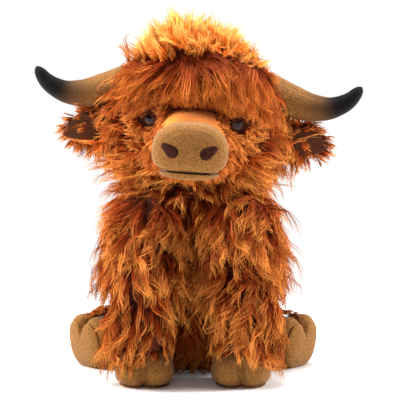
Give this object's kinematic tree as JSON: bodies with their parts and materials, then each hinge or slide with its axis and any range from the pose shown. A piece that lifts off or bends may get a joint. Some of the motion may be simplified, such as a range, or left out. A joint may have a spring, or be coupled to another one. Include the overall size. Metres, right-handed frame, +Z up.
{
  "type": "sitting plush highland cow",
  "caption": "Sitting highland cow plush with long curly fur, a velour muzzle, horns and hooves, and a head, ears, legs and tail that move.",
  "frame": {"origin": "middle of the torso's flat seat, on the surface that the toy sits on", "axes": "+Z up from the seat to the crown, +X to the toy's own left along the horns' span, +Y to its back; the face looks along -Y"},
  "size_m": [0.2643, 0.1985, 0.2822],
  "materials": {
    "rust_fur": "long curly pile",
    "golden_fur": "long curly pile, paler tips",
    "short_pile": "short pile",
    "tan_velour": "matte velour",
    "horn_velour": "matte velour, dark towards the tip",
    "ear_velour": "matte velour",
    "embroidery": "satin-stitch thread",
    "eye_plastic": "glossy",
    "washer_plastic": "matte",
    "fibre": "loose polyester fibre",
    "pouch_cotton": "plain cotton filled with plastic beans"
  },
  "bodies": {
    "torso": {"torso_skin": "rust_fur", "torso_stuffing": "fibre", "bean_pouch": "pouch_cotton"},
    "neck": {"neck_gusset": "rust_fur"},
    "head": {"head_skin": "rust_fur", "head_stuffing": "fibre", "forelock": "golden_fur", "mane": "rust_fur", "snout_sleeve": "short_pile", "muzzle_upper": "tan_velour", "muzzle_lower": "tan_velour", "nostril_left": "embroidery", "eye_left": "eye_plastic", "eye_washer_left": "washer_plastic", "horn_skin_left": "horn_velour", "horn_stuffing_left": "fibre", "nostril_right": "embroidery", "eye_right": "eye_plastic", "eye_washer_right": "washer_plastic", "horn_skin_right": "horn_velour", "horn_stuffing_right": "fibre"},
    "ear_left": {"ear_outer_left": "rust_fur", "ear_lining_left": "ear_velour"},
    "ear_right": {"ear_outer_right": "rust_fur", "ear_lining_right": "ear_velour"},
    "foreleg_left": {"foreleg_left_skin": "rust_fur", "foreleg_left_stuffing": "fibre", "foreleg_left_hoof": "tan_velour", "foreleg_left_sole": "tan_velour"},
    "foreleg_right": {"foreleg_right_skin": "rust_fur", "foreleg_right_stuffing": "fibre", "foreleg_right_hoof": "tan_velour", "foreleg_right_sole": "tan_velour"},
    "hindleg_left": {"hindleg_left_skin": "rust_fur", "hindleg_left_stuffing": "fibre", "hindleg_left_hoof": "tan_velour", "hindleg_left_sole": "tan_velour"},
    "hindleg_right": {"hindleg_right_skin": "rust_fur", "hindleg_right_stuffing": "fibre", "hindleg_right_hoof": "tan_velour", "hindleg_right_sole": "tan_velour"},
    "tail": {"tail": "rust_fur", "tail_tuft": "golden_fur"}
  },
  "joints": [
    {"name": "head_turn", "type": "hinge", "parent": "torso", "child": "neck", "pos_m": [0, 0.004, 0.156], "axis": [0, 0, 1], "range_deg": [-25, 25], "stiffness_Nm_per_rad": 1.6},
    {"name": "head_nod", "type": "hinge", "parent": "neck", "child": "head", "pos_m": [0, 0.004, 0.156], "axis": [1, 0, 0], "range_deg": [-12, 10], "stiffness_Nm_per_rad": 1.6},
    {"name": "ear_fold_left", "type": "hinge", "parent": "head", "child": "ear_left", "pos_m": [0.06669, -0.00072, 0.19385], "axis": [-0.061, 0.0027, -0.9981], "range_deg": [-20, 35], "stiffness_Nm_per_rad": 0.05},
    {"name": "ear_fold_right", "type": "hinge", "parent": "head", "child": "ear_right", "pos_m": [-0.06174, 0.00488, 0.20171], "axis": [0.061, -0.0027, 0.9981], "range_deg": [-20, 35], "stiffness_Nm_per_rad": 0.05},
    {"name": "shoulder_left", "type": "hinge", "parent": "torso", "child": "foreleg_left", "pos_m": [0.03796, -0.04681, 0.12324], "axis": [-1, 0, 0], "range_deg": [0, 50]},
    {"name": "shoulder_right", "type": "hinge", "parent": "torso", "child": "foreleg_right", "pos_m": [-0.03796, -0.04681, 0.12324], "axis": [-1, 0, 0], "range_deg": [0, 50]},
    {"name": "hip_left", "type": "hinge", "parent": "torso", "child": "hindleg_left", "pos_m": [0.04965, 0.02703, 0.0273], "axis": [0, 0, -1], "range_deg": [-20, 8]},
    {"name": "hip_right", "type": "hinge", "parent": "torso", "child": "hindleg_right", "pos_m": [-0.04965, 0.02703, 0.0273], "axis": [0, 0, 1], "range_deg": [-20, 8]},
    {"name": "tail_swing", "type": "hinge", "parent": "torso", "child": "tail", "pos_m": [0, 0.07237, 0.0468], "axis": [0, 1, 0], "range_deg": [-40, 40]}
  ]
}
